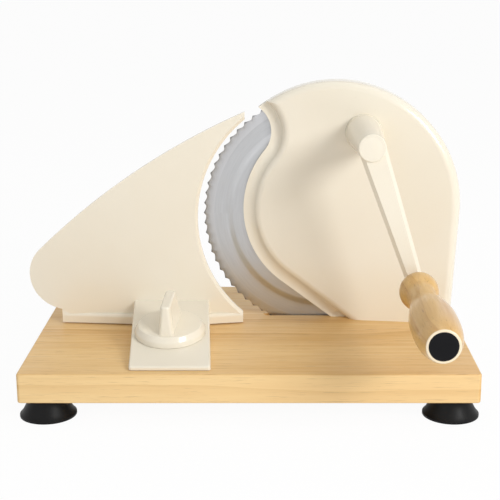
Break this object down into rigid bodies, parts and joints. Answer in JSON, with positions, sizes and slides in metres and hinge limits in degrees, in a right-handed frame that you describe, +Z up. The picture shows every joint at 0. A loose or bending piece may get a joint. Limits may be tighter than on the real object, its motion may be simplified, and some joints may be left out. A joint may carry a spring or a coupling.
{
  "type": "hand-cranked bread slicer",
  "caption": "Hand-cranked bread slicer: serrated disc blade in a cream housing, long crank with wooden grip, sliding stop plate with a thickness dial, on a wooden board with rubber feet.",
  "frame": {"origin": "middle of the bounding box's footprint, on the surface the feet stand on", "axes": "+X to the right along the board, as the user at the crank sees it; +Y away from the user, from the grip's end to the board's back edge; +Z up"},
  "size_m": [0.3346, 0.3016, 0.2246],
  "materials": {
    "board_wood": "oiled, satin",
    "foot_rubber": "matte black",
    "screw_steel": "zinc plated",
    "rail_aluminium": "drawn",
    "cream_paint": "cream enamel, gloss",
    "cream_arm": "cream enamel, gloss",
    "cream_plastic": "cream, gloss",
    "hub_cap_plastic": "cream, gloss",
    "blade_steel": "ground stainless steel",
    "turned_steel": "turned",
    "gear_steel": "cut, greased",
    "bush_brass": "bronze, turned",
    "washer_steel": "pressed",
    "grip_wood": "varnished, gloss",
    "black_plastic": "black",
    "slide_plastic": "natural white"
  },
  "bodies": {
    "base": {"base_board": "board_wood", "suction_foot_front_left": "foot_rubber", "suction_foot_front_right": "foot_rubber", "suction_foot_back_left": "foot_rubber", "suction_foot_back_right": "foot_rubber", "foot_screws": "screw_steel", "guide_rail": "rail_aluminium", "rail_screws": "screw_steel", "gear_housing": "cream_paint", "rear_cover": "cream_paint", "cover_screws": "screw_steel", "housing_screws": "screw_steel", "bearing_tube": "turned_steel", "blade_axle": "turned_steel", "blade_nut": "turned_steel", "thickness_rack": "slide_plastic", "rack_screws": "screw_steel"},
    "blade_set": {"blade": "blade_steel", "blade_gear": "gear_steel", "blade_bush": "bush_brass", "blade_screws": "screw_steel"},
    "crank": {"crank_arm": "cream_arm", "crank_shaft": "turned_steel", "thrust_washer": "washer_steel", "drive_pinion": "gear_steel", "pinion_screw": "screw_steel", "crank_washer": "washer_steel", "crank_screw": "screw_steel", "hub_cap": "hub_cap_plastic", "grip_pin": "turned_steel"},
    "grip": {"wooden_grip": "grip_wood", "grip_end_cap": "black_plastic"},
    "stop": {"stop_plate": "cream_paint", "guide_shoe": "slide_plastic", "shoe_screws": "screw_steel"},
    "dial": {"thickness_dial": "cream_plastic", "dial_washer": "washer_steel", "dial_spindle": "turned_steel", "dial_pinion": "slide_plastic", "dial_screw": "screw_steel"}
  },
  "joints": [
    {"name": "blade_turn", "type": "hinge", "parent": "base", "child": "blade_set", "pos_m": [0.06215, 0.06915, 0.1201], "axis": [0, 1, 0], "continuous": true},
    {"name": "crank_turn", "type": "hinge", "parent": "base", "child": "crank", "pos_m": [0.08982, 0.02915, 0.18657], "axis": [0, 1, 0], "continuous": true},
    {"name": "grip_spin", "type": "hinge", "parent": "crank", "child": "grip", "pos_m": [0.12403, -0.08585, 0.08635], "axis": [0, 1, 0], "continuous": true},
    {"name": "stop_slide", "type": "slide", "parent": "base", "child": "stop", "axis": [0, 1, 0], "range_m": [-0.0026, 0.0169]},
    {"name": "dial_turn", "type": "hinge", "parent": "stop", "child": "dial", "pos_m": [-0.05445, -0.00725, 0.0471], "axis": [0, -0.1478, 0.989], "range_deg": [-25.6, 160.6]}
  ],
  "couplings": [
    {"joint": "crank_turn", "follows": "blade_turn", "ratio": -2.1304},
    {"joint": "dial_turn", "follows": "stop_slide", "rad_per_m": 164.84}
  ]
}
